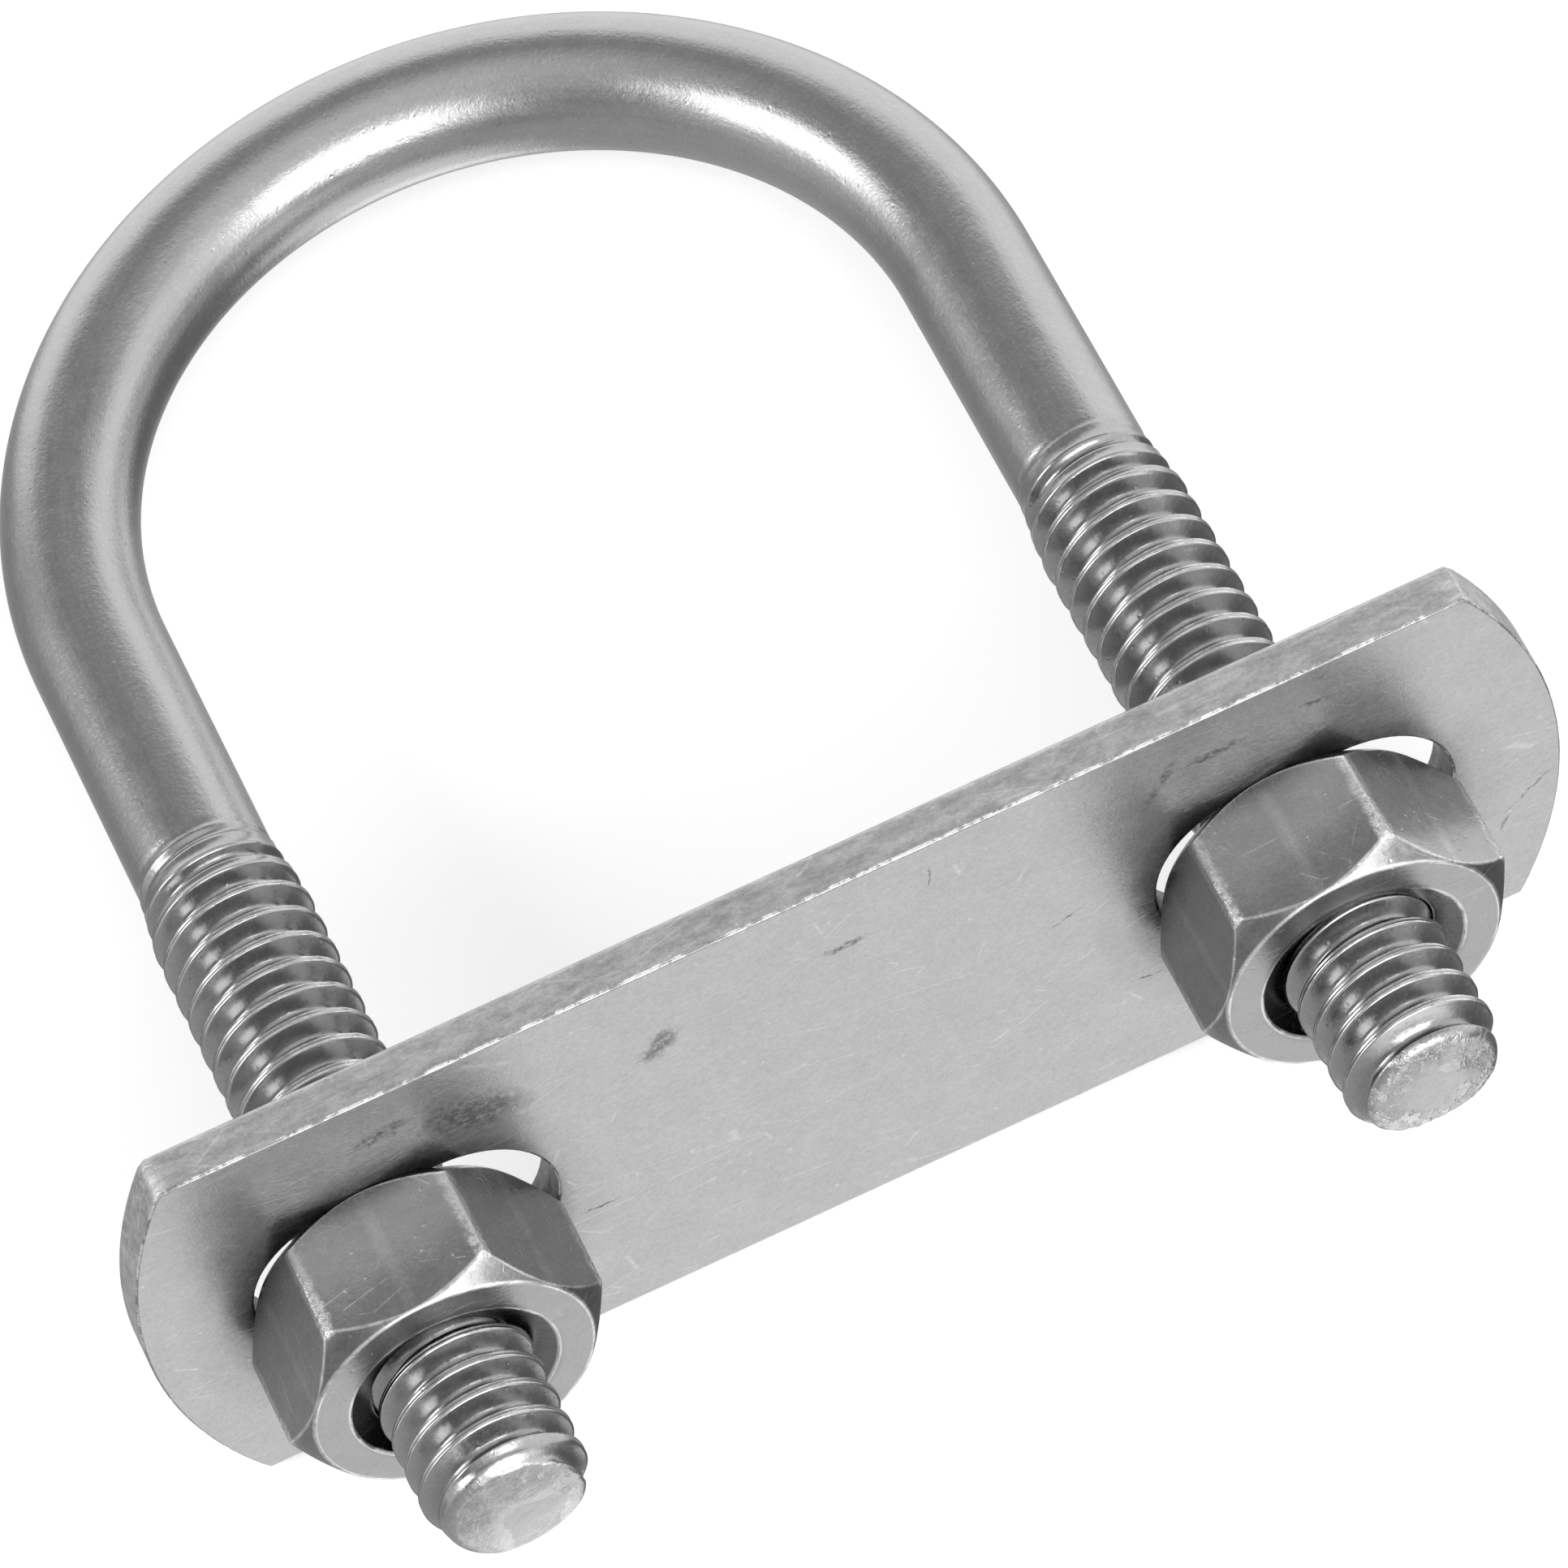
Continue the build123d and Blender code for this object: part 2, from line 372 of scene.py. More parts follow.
LONG_FRONT_ROUND, END_FRONT_ROUND = 0.15, 0.10
LONG_BACK_ROUND, END_BACK_ROUND = 0.30, 0.12
SLOT_FRONT_ROUND, SLOT_BACK_ROUND = 0.16, 0.08


def plate_outline():
    """Corners and arcs of the plate, anticlockwise in X and Z about its own centre."""
    arc = np.linspace(-end_angle, end_angle, 41)
    right = [(end_centre + end_radius * math.cos(a), end_radius * math.sin(a)) for a in arc]
    left = [(-x, -z) for x, z in right]
    top = [(x, PLATE_HALF_WIDTH) for x in np.linspace(PLATE_HALF_LENGTH, -PLATE_HALF_LENGTH, 60)]
    bottom = [(-x, -z) for x, z in top]
    return np.array(right + top[1:-1] + left + bottom[1:-1])


def slot_outline(centre):
    reach = SLOT_HALF_LENGTH - SLOT_RADIUS
    arc = np.linspace(-math.pi / 2, math.pi / 2, 33)
    right = [
        (centre + reach + SLOT_RADIUS * math.cos(a), SLOT_RADIUS * math.sin(a)) for a in arc
    ]
    left = [(2 * centre - x, -z) for x, z in right]
    return np.array(right + left)


def loop_normals(loop):
    """Outward miter of each corner of an anticlockwise loop."""
    before, after = loop - np.roll(loop, 1, axis=0), np.roll(loop, -1, axis=0) - loop
    before /= np.linalg.norm(before, axis=1, keepdims=True)
    after /= np.linalg.norm(after, axis=1, keepdims=True)
    first = np.stack([before[:, 1], -before[:, 0]], axis=1)
    second = np.stack([after[:, 1], -after[:, 0]], axis=1)
    miter = first + second
    return miter / (np.sum(miter * first, axis=1, keepdims=True))


def wall(builder, loop, inset_front, inset_back, sign):
    """Side wall with eased edges. The insets are edge radii on the front and the back."""
    normals = loop_normals(loop) * sign
    layers = []
    quarter = np.linspace(0, math.pi / 2, 6)
    for t in quarter:
        inset, rise = inset_front * (1 - math.sin(t)), inset_front * (1 - math.cos(t))
        layers.append((inset, PLATE_FRONT_Y + rise))
    for share in np.linspace(0, 1, 6)[1:-1]:
        low, high = PLATE_FRONT_Y + inset_front.max(), PLATE_BACK_Y - inset_back.max()
        layers.append((0 * inset_front, low + (high - low) * share + 0 * inset_front))
    for t in quarter[::-1]:
        inset, rise = inset_back * (1 - math.sin(t)), inset_back * (1 - math.cos(t))
        layers.append((inset, PLATE_BACK_Y - rise))
    rows = []
    for inset, y in layers:
        flat = loop - normals * inset[:, None]
        row = np.stack([PLATE_X + flat[:, 0], y, PLATE_Z + flat[:, 1]], axis=-1)
        rows.append(np.vstack([row, row[:1]]))
    builder.grid(np.array(rows), flip=sign < 0)


plate_builder = Builder()
outline = plate_outline()
on_long_side = np.abs(np.abs(outline[:, 1]) - PLATE_HALF_WIDTH) < 1e-6
front_round = np.where(on_long_side, LONG_FRONT_ROUND, END_FRONT_ROUND)
back_round = np.where(on_long_side, LONG_BACK_ROUND, END_BACK_ROUND)
wall(plate_builder, outline, front_round, back_round, 1)
for centre in (-SLOT_HALF_SPACING, SLOT_HALF_SPACING):
    slot = slot_outline(centre)
    slot_front = np.full(len(slot), SLOT_FRONT_ROUND)
    slot_back = np.full(len(slot), SLOT_BACK_ROUND)
    wall(plate_builder, slot, slot_front, slot_back, -1)
plate_skin = plate_builder.finish("plate_bar")


def cap(obj):
    """Fills the front and the back of the plate between its outline and its slots."""
    bm = bmesh.new()
    bm.from_mesh(obj.data)
    edges = [e for e in bm.edges if e.is_boundary]
    front = [e for e in edges if all(abs(v.co.y / MM - PLATE_FRONT_Y) < 0.02 for v in e.verts)]
    back = [e for e in edges if all(abs(v.co.y / MM - PLATE_BACK_Y) < 0.02 for v in e.verts)]
    for ring in (front, back):
        made = bmesh.ops.triangle_fill(bm, edges=ring, use_beauty=True)
        for item in made["geom"]:
            if isinstance(item, bmesh.types.BMFace):
                item.smooth = False
    bmesh.ops.recalc_face_normals(bm, faces=bm.faces)
    bm.to_mesh(obj.data)
    bm.free()


cap(plate_skin)


# ---------------------------------------------------------------- materials
class Nodes:
    """Short names for building a steel's node material, with coordinates in mm."""

    def __init__(self, name):
        self.material = bpy.data.materials.new(name)
        self.material.use_nodes = True
        self.tree = self.material.node_tree
        self.shader = self.tree.nodes["Principled BSDF"]
        self.shader.inputs["Metallic"].default_value = 1.0
        self.coords = self.tree.nodes.new("ShaderNodeTexCoord")
        self.mm = self.mapped(self.coords.outputs["Object"], (1 / MM,) * 3)
        self.broken = self.remap(self.noise(self.mm, 4.0, 3, 0.6), 0.38, 0.56, 0.22, 1.0)

    def node(self, kind, inputs=(), **settings):
        """A node with its settings, and its inputs set to a number or linked to a socket."""
        made = self.tree.nodes.new(kind)
        for key, value in settings.items():
            setattr(made, key, value)
        for key, value in dict(inputs).items():
            if isinstance(value, bpy.types.NodeSocket):
                self.tree.links.new(value, made.inputs[key])
            else:
                made.inputs[key].default_value = value
        return made

    def mapped(self, vector, scale, turn=(0, 0, 0), place=(0, 0, 0), kind="POINT"):
        inputs = {"Vector": vector, "Scale": scale, "Rotation": turn, "Location": place}
        return self.node("ShaderNodeMapping", inputs, vector_type=kind).outputs[0]

    def noise(self, vector, scale, detail=3.0, roughness=0.55, output="Fac"):
        inputs = {"Vector": vector, "Scale": scale, "Detail": detail, "Roughness": roughness}
        return self.node("ShaderNodeTexNoise", inputs).outputs[output]

    def remap(self, value, low, high, to_low=0.0, to_high=1.0):
        inputs = {
            "Value": value, "From Min": low, "From Max": high, "To Min": to_low, "To Max": to_high,
        }
        return self.node("ShaderNodeMapRange", inputs).outputs["Result"]

    def math(self, operation, first, second=0.0):
        inputs = {0: first, 1: second}
        return self.node("ShaderNodeMath", inputs, operation=operation).outputs[0]

    def total(self, *values):
        result = values[0]
        for value in values[1:]:
            result = self.math("ADD", result, value)
        return result

    def moved(self, wander, reach):
        """The coordinates in mm, pushed about by a colour noise."""
        inputs = {0: wander, 1: (reach,) * 3, 2: self.mm}
        return self.node("ShaderNodeVectorMath", inputs, operation="MULTIPLY_ADD").outputs[0]

    def pits(self, scale, share, radius):
        """1 inside scattered round pits. share is how many cells have one."""
        cells = self.node("ShaderNodeTexVoronoi", {"Vector": self.mm, "Scale": scale})
        chosen = self.node("ShaderNodeSeparateColor", {"Color": cells.outputs["Color"]}).outputs[0]
        chosen = self.remap(chosen, 1 - share, 1 - share + 0.05)
        inside = self.remap(cells.outputs["Distance"], radius, 0.2 * radius)
        return self.math("MULTIPLY", inside, chosen)

    def scratches(self, turn, scale, width, cover):
        """1 along thin broken lines that run mostly one way. turn is in the plane of the plate."""
        vector = self.mapped(self.mm, (0.12 * scale, 0.3 * scale, scale), (0, turn, 0))
        cells = self.node(
            "ShaderNodeTexVoronoi", {"Vector": vector, "Scale": 1.0}, feature="DISTANCE_TO_EDGE"
        )
        line = self.remap(cells.outputs["Distance"], width, 0.0)
        broken = self.noise(self.mm, 0.5 * scale, 2)
        return self.math("MULTIPLY", line, self.remap(broken, 1 - cover, 1.06 - cover))

    def mark(self, x, z, turn, length, width):
        """1 inside one ragged smudge of that half length and half width, fading to its rim."""
        reach = 1.5 * width + 0.30
        wander = self.noise(self.mm, 2.4, 5, 0.7, output="Color")
        vector = self.moved(wander, reach)
        place = (x + reach / 2, 0, z + reach / 2)
        turned = (0, -math.radians(turn), 0)
        local = self.mapped(vector, (length, 1e3, width), turned, place, "TEXTURE")
        far = self.node("ShaderNodeVectorMath", {0: local}, operation="LENGTH").outputs["Value"]
        return self.math("MULTIPLY", self.remap(far, 1.0, 0.4), self.broken)

    def bump(self, height, distance, strength=1.0):
        """Adds height, in mm at a value of 1, on top of the bumps so far."""
        inputs = {"Height": height, "Strength": strength, "Distance": distance * MM}
        if self.shader.inputs["Normal"].links:
            inputs["Normal"] = self.shader.inputs["Normal"].links[0].from_socket
        made = self.node("ShaderNodeBump", inputs)
        self.tree.links.new(made.outputs[0], self.shader.inputs["Normal"])

    def finish(self, tone, roughness):
        tone = self.remap(tone, 0.0, 1.0)
        grey = self.node("ShaderNodeCombineColor", {0: tone, 1: tone, 2: tone}).outputs[0]
        self.tree.links.new(grey, self.shader.inputs["Base Color"])
        self.tree.links.new(self.remap(roughness, 0.0, 1.0), self.shader.inputs["Roughness"])
        return self.material

    def signed(self, value, amount):
        """A 0 to 1 noise as a small change either way."""
        return self.remap(value, 0.25, 0.75, -amount, amount)

    def split(self):
        """x, y and z in mm."""
        return self.node("ShaderNodeSeparateXYZ", {0: self.mm}).outputs[:3]

    def joined(self, x, y, z):
        return self.node("ShaderNodeCombineXYZ", {0: x, 1: y, 2: z}).outputs[0]


def length(n, first, second):
    squares = n.math("ADD", n.math("MULTIPLY", first, first), n.math("MULTIPLY", second, second))
    return n.math("SQRT", squares)


def rod_finish():
    """Drawn wire: streaks along the rod, sparse pits, painted shade down in the thread and painted
    glints on its crest lips.
    """
    n = Nodes("satin_rod")
    x, y, z = n.split()
    reach = length(n, x, n.math("MAXIMUM", y, 0.0))
    along = n.math("MULTIPLY", n.math("ADD", x, y), 0.05)
    streak = n.noise(n.joined(reach, along, z), 4.5, 4, 0.65)
    cloud = n.noise(n.mm, 1.1, 4, 0.6)
    grit = n.noise(n.mm, 6.0, 4, 0.7)
    pit = n.pits(2.6, 0.5, 0.24)
    from_leg = length(n, n.math("SUBTRACT", n.math("ABSOLUTE", x), float(LEG_X)), z)
    threaded = n.remap(y, THREAD_START_Y, THREAD_START_Y - 1.5)
    end = n.remap(y, LEG_END_Y + 0.75, LEG_END_Y + 0.35)
    flank = n.math("MULTIPLY", threaded, n.math("SUBTRACT", 1.0, end))
    # Painted shade: the thread's roots are painted darker, deepest at the root.
    root_shade = n.math("MULTIPLY", n.remap(from_leg, MAJOR - 0.05, ROOT), flank)
    speck = n.remap(grit, 0.58, 0.74)
    ragged = n.moved(n.noise(n.mm, 1.6, 4, 0.7, output="Color"), 0.9)
    cells = n.node("ShaderNodeTexVoronoi", {"Vector": ragged, "Scale": 0.5})
    patch = n.node("ShaderNodeSeparateColor", {"Color": cells.outputs["Color"]}).outputs[1]
    outer = n.remap(n.math("ADD", from_leg, n.signed(n.noise(n.mm, 0.9, 3), 0.9)), 1.1, 1.7)
    torn = n.math("MULTIPLY", outer, n.remap(n.noise(n.mm, 1.5, 4, 0.65), 0.48, 0.56, -0.5, 1.0))
    torn = n.math("MULTIPLY", torn, n.remap(x, -1.0, 1.0, 0.35, 1.0))
    # Painted highlight: bright broken glints painted along the thread's crest lips.
    lip = n.math("MULTIPLY", n.remap(from_leg, MAJOR - 0.035, MAJOR - 0.015), flank)
    lip = n.math("MULTIPLY", lip, n.remap(n.noise(n.mm, 1.3, 4, 0.7), 0.44, 0.56))
    tone = n.total(
        n.signed(cloud, 0.02), n.signed(grit, 0.03), n.signed(streak, 0.02), 0.50,
        n.math("MULTIPLY", speck, 0.08), n.math("MULTIPLY", pit, -0.03),
        n.math("MULTIPLY", root_shade, -0.15), n.math("MULTIPLY", end, 0.08),
        n.math("MULTIPLY", end, n.signed(patch, 0.06)),
        n.math("MULTIPLY", end, n.math("MULTIPLY", torn, 0.11)), n.math("MULTIPLY", lip, 0.34),
    )
    roughness = n.total(
        n.signed(cloud, 0.025), n.signed(streak, 0.035), n.signed(grit, 0.04), 0.24,
        n.math("MULTIPLY", flank, -0.05), n.math("MULTIPLY", end, 0.06),
    )
    n.bump(streak, 0.0050)
    n.bump(n.math("MULTIPLY", grit, n.remap(flank, 0.0, 1.0, 1.0, 0.30)), 0.0130)
    n.bump(pit, -0.006)
    n.bump(n.math("MULTIPLY", end, n.total(cloud, n.math("MULTIPLY", torn, 0.3))), 0.05)
    n.bump(n.noise(n.mm, 0.5, 3), 0.03)
    return n.finish(tone, roughness)


# Smudges on the plate's front: x, z, turn in degrees, half length, half width
PLATE_MARKS = (
    (1.0, 6.8, 0, 1.1, 0.24), (-6.5, 6.0, 42, 1.2, 0.60), (-10.4, -2.1, -3, 0.9, 0.06),
    (11.4, -3.4, -9, 0.8, 0.06), (27.1, -2.7, 35, 1.6, 0.06), (25.9, -4.1, 60, 0.5, 0.10),
    (-13.7, 7.0, -20, 2.6, 1.35), (15.8, 8.2, 4, 1.5, 0.30), (13.5, 7.7, 54, 1.7, 0.25),
    (7.9, -8.9, -5, 0.5, 0.10), (20.0, 8.5, -5, 0.9, 0.20), (-17.0, 8.2, 10, 1.6, 0.45),
    (4.6, 8.6, 80, 0.7, 0.06), (9.0, 2.4, 20, 0.9, 0.05),
)


def plate_finish():
    """Rolled strip: scratches, smudges, painted shade and a painted shadow round the nuts, a
    painted highlight along the front edges, and torn sides.
    """
    n = Nodes("mill_plate")
    x, y, z = n.split()
    cloud = n.noise(n.mm, 0.55, 5, 0.6)
    grit = n.noise(n.mm, 6.0, 4, 0.75)
    grain = n.noise(n.joined(n.math("MULTIPLY", x, 0.12), y, z), 3.5, 4, 0.6)
    lines = n.scratches(0.30, 0.9, 0.012, 0.52)
    for turn, scale, width, cover in (
        (-0.75, 0.7, 0.007, 0.46), (1.25, 0.8, 0.008, 0.44), (2.1, 1.1, 0.010, 0.42),
    ):
        lines = n.math("MAXIMUM", lines, n.scratches(turn, scale, width, cover))
    pit = n.pits(1.6, 0.12, 0.16)
    smudge = 0.0
    for one in PLATE_MARKS:
        smudge = n.math("MAXIMUM", n.mark(*one), smudge)
    front = n.remap(y, PLATE_BACK_Y - 0.5, PLATE_BACK_Y - 0.9)
    smudge = n.math("MULTIPLY", smudge, front)
    from_leg = length(n, n.math("SUBTRACT", n.math("ABSOLUTE", x), float(LEG_X)), z)
    # Painted shade: a soft dark ring painted on the plate round each nut.
    painted_nut_shade = n.math("MULTIPLY", n.remap(from_leg, 8.6, 5.8), n.remap(front, 0.0, 1.0, 0.4, 1.0))
    # Painted shadow: a darker band painted on the plate right round each nut's edge.
    rim = n.math("MULTIPLY", n.remap(from_leg, 7.1, 5.9), front)
    facing = n.node("ShaderNodeSeparateXYZ", {0: n.coords.outputs["Normal"]}).outputs[1]
    side = n.remap(n.math("ABSOLUTE", facing), 0.75, 0.55)
    torn = n.noise(n.joined(n.math("MULTIPLY", x, 0.4), y, z), 1.9, 5, 0.75)
    tilt = n.math("ABSOLUTE", facing)
    # Painted highlight: a bright broken line painted along the rounded edges of the front.
    edge = n.math("MULTIPLY", n.remap(tilt, 0.10, 0.30), n.remap(tilt, 0.97, 0.85))
    edge = n.math("MULTIPLY", edge, n.remap(n.noise(n.mm, 1.4, 4, 0.7), 0.47, 0.55, -0.8, 1.0))
    edge = n.math("MULTIPLY", edge, front)
    tone = n.total(
        n.signed(cloud, 0.04), n.signed(grit, 0.08), n.signed(grain, 0.01), 0.53,
        n.math("MULTIPLY", smudge, -0.29), n.math("MULTIPLY", pit, 0.18),
        n.math("MULTIPLY", lines, 0.13),
        n.math("MULTIPLY", painted_nut_shade, -0.13), n.math("MULTIPLY", rim, -0.22),
        n.math("MULTIPLY", side, n.remap(torn, 0.35, 0.65, -0.07, 0.21)),
        n.math("MULTIPLY", edge, 0.24),
    )
    roughness = n.total(
        n.signed(cloud, 0.04), n.signed(grit, 0.04), 0.33,
        n.math("MULTIPLY", smudge, 0.12), n.math("MULTIPLY", side, 0.14),
    )
    n.bump(grit, 0.0135)
    n.bump(grain, 0.0015)
    n.bump(lines, -0.003)
    n.bump(n.math("MULTIPLY", side, torn), 0.05)
    n.bump(cloud, 0.02)
    return n.finish(tone, roughness)


def nut_finish():
    """Dull flats, painted highlights on the corners, edges and rims, painted shade in the
    countersinks, and fine turning rings on the faces.
    """
    n = Nodes("turned_nut")
    x, y, z = n.split()
    cloud = n.noise(n.mm, 1.0, 4, 0.6)
    grit = n.noise(n.mm, 6.5, 4, 0.7)
    pit = n.pits(2.2, 0.3, 0.2)
    lines = n.scratches(0.9, 1.3, 0.010, 0.5)
    lines = n.math("MAXIMUM", lines, n.scratches(-0.5, 1.2, 0.010, 0.46))
    from_leg = length(n, n.math("SUBTRACT", n.math("ABSOLUTE", x), float(LEG_X)), z)
    rings = n.noise(n.joined(from_leg, n.math("MULTIPLY", z, 0.02), 0.0), 6.0, 3, 0.6)
    facing = n.node("ShaderNodeSeparateXYZ", {0: n.coords.outputs["Normal"]}).outputs[1]
    tilt = n.math("ABSOLUTE", facing)
    turned = n.remap(tilt, 0.8, 0.95)
    uneven = n.math("ADD", from_leg, n.signed(n.noise(n.mm, 1.8, 4, 0.65), 0.07))
    # Painted highlight: a bright band painted round the six rounded corners.
    corner_highlight = n.remap(uneven, 6.14, 6.24)
    # Painted highlight: a bright broken line painted on the rounded edges between the flats and
    # the chamfer.
    edge = n.math("MULTIPLY", n.remap(tilt, 0.08, 0.25), n.remap(tilt, 0.66, 0.45))
    edge = n.math("MULTIPLY", edge, n.remap(n.noise(n.mm, 2.2, 4, 0.7), 0.38, 0.58, 0.2, 1.0))
    bevel = n.math("MULTIPLY", n.remap(tilt, 0.45, 0.66), n.remap(tilt, 0.90, 0.78))
    bevel = n.math("MULTIPLY", bevel, n.remap(from_leg, 6.22, 5.85))
    nick = n.math("MULTIPLY", corner_highlight, n.remap(n.noise(n.mm, 3.2, 4, 0.7), 0.42, 0.62))
    nick = n.math("MULTIPLY", nick, n.remap(y, NUT_FRONT_Y + 3.4, NUT_FRONT_Y + 1.0, 0.25, 1.0))
    # Painted shade: the countersink is painted darker, darkest towards the lower left.
    painted_sink_shade = n.remap(from_leg, NUT_SINK_RADIUS + 0.02, NUT_SINK_RADIUS - 0.10)
    side = n.math("SUBTRACT", x, n.math("MULTIPLY", n.math("SIGN", x), float(LEG_X)))
    lower_left = n.total(n.math("MULTIPLY", side, 0.8), n.math("MULTIPLY", z, 0.6))
    shade_side = n.remap(lower_left, 1.5, -1.5)
    # Painted highlights: bright thin rings painted at the face's rim and at the countersink's rim.
    rim_highlights = 0.0
    for radius in (NUT_FACE_RADIUS, NUT_SINK_RADIUS):
        near = n.math("ABSOLUTE", n.math("SUBTRACT", from_leg, radius - 0.01))
        rim_highlights = n.math("MAXIMUM", n.remap(near, 0.10, 0.05), rim_highlights)
    rim_highlights = n.math("MULTIPLY", rim_highlights, n.remap(n.noise(n.mm, 1.6, 3), 0.35, 0.6, 0.35, 1.0))
    tone = n.total(
        n.signed(cloud, 0.03), n.signed(grit, 0.05), 0.45, n.math("MULTIPLY", pit, 0.10),
        n.math("MULTIPLY", lines, 0.07), n.math("MULTIPLY", turned, -0.04),
        n.math("MULTIPLY", corner_highlight, 0.22), n.math("MULTIPLY", nick, 0.18),
        n.math("MULTIPLY", edge, 0.30), n.math("MULTIPLY", bevel, -0.16),
        n.math("MULTIPLY", painted_sink_shade, n.remap(shade_side, 0.0, 1.0, -0.14, -0.40)),
        n.math("MULTIPLY", rim_highlights, 0.48),
    )
    roughness = n.total(
        n.signed(cloud, 0.03), n.signed(grit, 0.04), 0.26, n.math("MULTIPLY", turned, 0.03),
    )
    n.bump(nick, 0.03)
    n.bump(grit, 0.005)
    n.bump(pit, -0.010)
    n.bump(lines, -0.005)
    n.bump(n.math("MULTIPLY", turned, rings), 0.008)
    n.bump(cloud, 0.012)
    return n.finish(tone, roughness)


nut_steel = nut_finish()
for obj, node, material, slot_name in (
    (bolt_skin, "u_bolt", rod_finish(), "rod_steel"),
    (plate_skin, "plate", plate_finish(), "plate_steel"),
    (nut_pieces["nut_left"], "nut_left", nut_steel, "nut_steel"),
    (nut_pieces["nut_right"], "nut_right", nut_steel, "nut_steel"),
):
    obj.data.materials.append(material)
    weighted = obj.modifiers.new("weighted", "WEIGHTED_NORMAL")
    weighted.weight = 60
    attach(obj, node)
    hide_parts(node)

# ---------------------------------------------------------------- floor
# The object lies on the plate's long lower edge and on the underside of its bow.
edge = Vector((0, PLATE_BACK_Y - 0.1, plate_low[2] - 0.03)) * MM
bow_centre = Vector((0, LEG_X, 0)) * MM
to_bow = bow_centre - edge
slope = math.atan2(to_bow.z, to_bow.y) - math.asin(ROD * MM / to_bow.length)
floor_mesh = bpy.data.meshes.new("floor")
FLOOR_HALF = 1.6
FLOOR_GLOW = 0.40                         # keeps the shadows faint
floor_mesh.from_pydata(
    [(FLOOR_HALF * x, FLOOR_HALF * y, 0) for x, y in ((-1, -1), (1, -1), (1, 1), (-1, 1))],
    [],
    [(0, 1, 2, 3)],
)
floor = bpy.data.objects.new("floor", floor_mesh)
bpy.context.scene.collection.objects.link(floor)
floor.matrix_world = Matrix.Translation(edge) @ Matrix.Rotation(slope, 4, "X")
floor_material = bpy.data.materials.new("floor")
floor_material.use_nodes = True
floor_shader = floor_material.node_tree.nodes["Principled BSDF"]
floor_shader.inputs["Base Color"].default_value = (0.93, 0.93, 0.93, 1)
floor_shader.inputs["Roughness"].default_value = 0.9
floor_shader.inputs["Specular IOR Level"].default_value = 0.2
floor_shader.inputs["Emission Color"].default_value = (1, 1, 1, 1)
floor_shader.inputs["Emission Strength"].default_value = FLOOR_GLOW
floor_mesh.materials.append(floor_material)
floor.visible_glossy = False

# ---------------------------------------------------------------- camera
camera_data = bpy.data.cameras.new("camera")
camera = bpy.data.objects.new("camera", camera_data)
bpy.context.scene.collection.objects.link(camera)
camera_data.sensor_width = 36
camera_data.lens = 235.75
camera_data.clip_start = 0.02
camera_place = Vector((-33.15, -232.36, 312.21)) * MM
camera_aim = Vector((3.49, -12.61, -8.22)) * MM
camera_roll = math.radians(-16.709)
upright = (camera_aim - camera_place).to_track_quat("-Z", "Y").to_matrix().to_4x4()
camera.matrix_world = (
    Matrix.Translation(camera_place) @ upright @ Matrix.Rotation(camera_roll, 4, "Z")
)
bpy.context.scene.camera = camera

# ---------------------------------------------------------------- light
def direction(azimuth, elevation):
    """Unit vector; azimuth 0 is +Y and 90 is +X, elevation is above the XY plane."""
    a, e = math.radians(azimuth), math.radians(elevation)
    return Vector((math.sin(a) * math.cos(e), math.cos(a) * math.cos(e), math.sin(e)))


def softbox(name, azimuth, elevation, distance, size, radiance):
    """Area light that looks at the object, bright enough to show that radiance."""
    data = bpy.data.lights.new(name, "AREA")
    data.shape = "RECTANGLE"
    data.size, data.size_y = size
    data.energy = radiance * math.pi * size[0] * size[1]
    obj = bpy.data.objects.new(name, data)
    bpy.context.scene.collection.objects.link(obj)
    obj.location = direction(azimuth, elevation) * distance + Vector((0, -0.01, 0))
    obj.rotation_euler = direction(azimuth, elevation).to_track_quat("Z", "Y").to_euler()


softbox("left_box", -84, 33, 1.0, (0.66, 0.48), 2.8)
softbox("front_box", 167, 28, 1.0, (0.70, 0.58), 2.8)

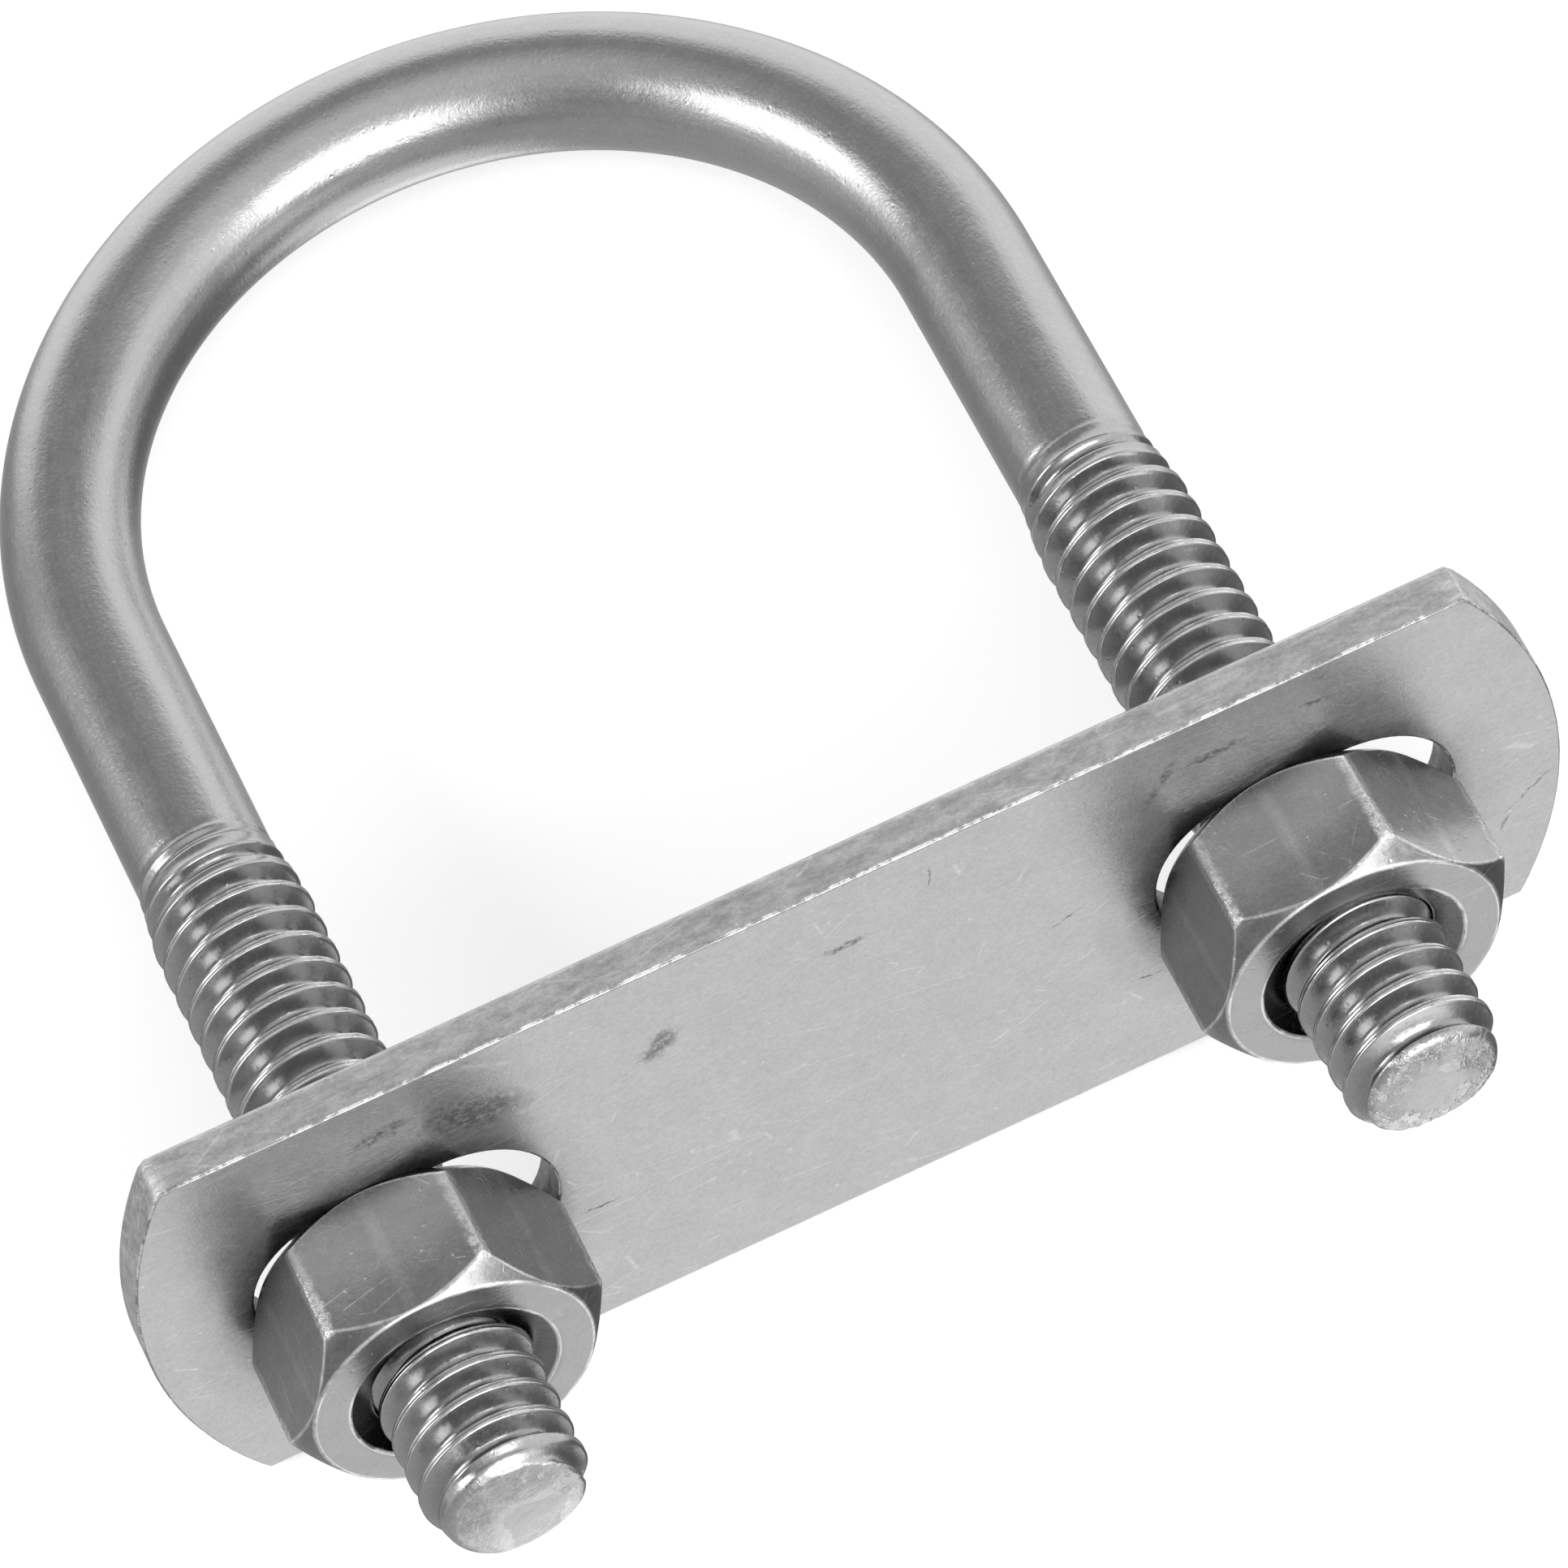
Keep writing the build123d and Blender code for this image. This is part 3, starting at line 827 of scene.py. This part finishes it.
# The room, painted patch over patch: azimuth, elevation, inner and outer reach, brightness
ROOM = 0.48
PATCHES = (
    (0, 90, 12, 36, 0.52),
    (150, 68, 10, 40, 0.84),
    (-86, 18, 16, 42, 0.78),
    (168, 16, 22, 44, 1.30),
    (155, 3, 14, 30, 1.50),
    (14, 12, 36, 54, 1.14),
    (80, 8, 28, 48, 1.14),
    (122, 26, 14, 32, 1.05),
    (-134, 20, 8, 22, 0.30),
    (-130, -5, 8, 24, 0.46),
    (-46, 46, 8, 26, 0.34),
    (0, 54, 10, 24, 0.34),
    (-20, 46, 8, 20, 0.30),
    (45, 52, 10, 24, 0.32),
    (80, 42, 6, 16, 0.44),
    (-42, -26, 10, 30, 0.34),
    (172, -36, 12, 28, 0.42),
    (100, -46, 20, 42, 0.20),
    (166, -61, 14, 28, 1.08),
    (95, -88, 8, 13, 1.60),
)
BACKDROP = 0.97                           # what the camera sees beyond the floor
world = bpy.data.worlds.new("studio")
bpy.context.scene.world = world
world.use_nodes = True
tree = world.node_tree
background = tree.nodes["Background"]
background.inputs["Color"].default_value = (1, 1, 1, 1)
coords = tree.nodes.new("ShaderNodeTexCoord")


def blended(below, above, share):
    """A number mixed from two by a share, each a number or a socket."""
    mix = tree.nodes.new("ShaderNodeMix")
    for key, value in (("Factor", share), ("A", below), ("B", above)):
        if isinstance(value, (int, float)):
            mix.inputs[key].default_value = value
        else:
            tree.links.new(value, mix.inputs[key])
    return mix.outputs["Result"]


brightness = ROOM
for azimuth, elevation, inner, outer, value in PATCHES:
    dot = tree.nodes.new("ShaderNodeVectorMath")
    dot.operation = "DOT_PRODUCT"
    dot.inputs[1].default_value = direction(azimuth, elevation)
    tree.links.new(coords.outputs["Generated"], dot.inputs[0])
    ramp = tree.nodes.new("ShaderNodeMapRange")
    ramp.interpolation_type = "SMOOTHSTEP"
    ramp.inputs["From Min"].default_value = math.cos(math.radians(outer))
    ramp.inputs["From Max"].default_value = math.cos(math.radians(inner))
    tree.links.new(dot.outputs["Value"], ramp.inputs["Value"])
    brightness = blended(brightness, value, ramp.outputs["Result"])
paths = tree.nodes.new("ShaderNodeLightPath")
brightness = blended(brightness, BACKDROP, paths.outputs["Is Camera Ray"])
tree.links.new(brightness, background.inputs["Strength"])

bpy.context.scene.view_settings.view_transform = "Standard"
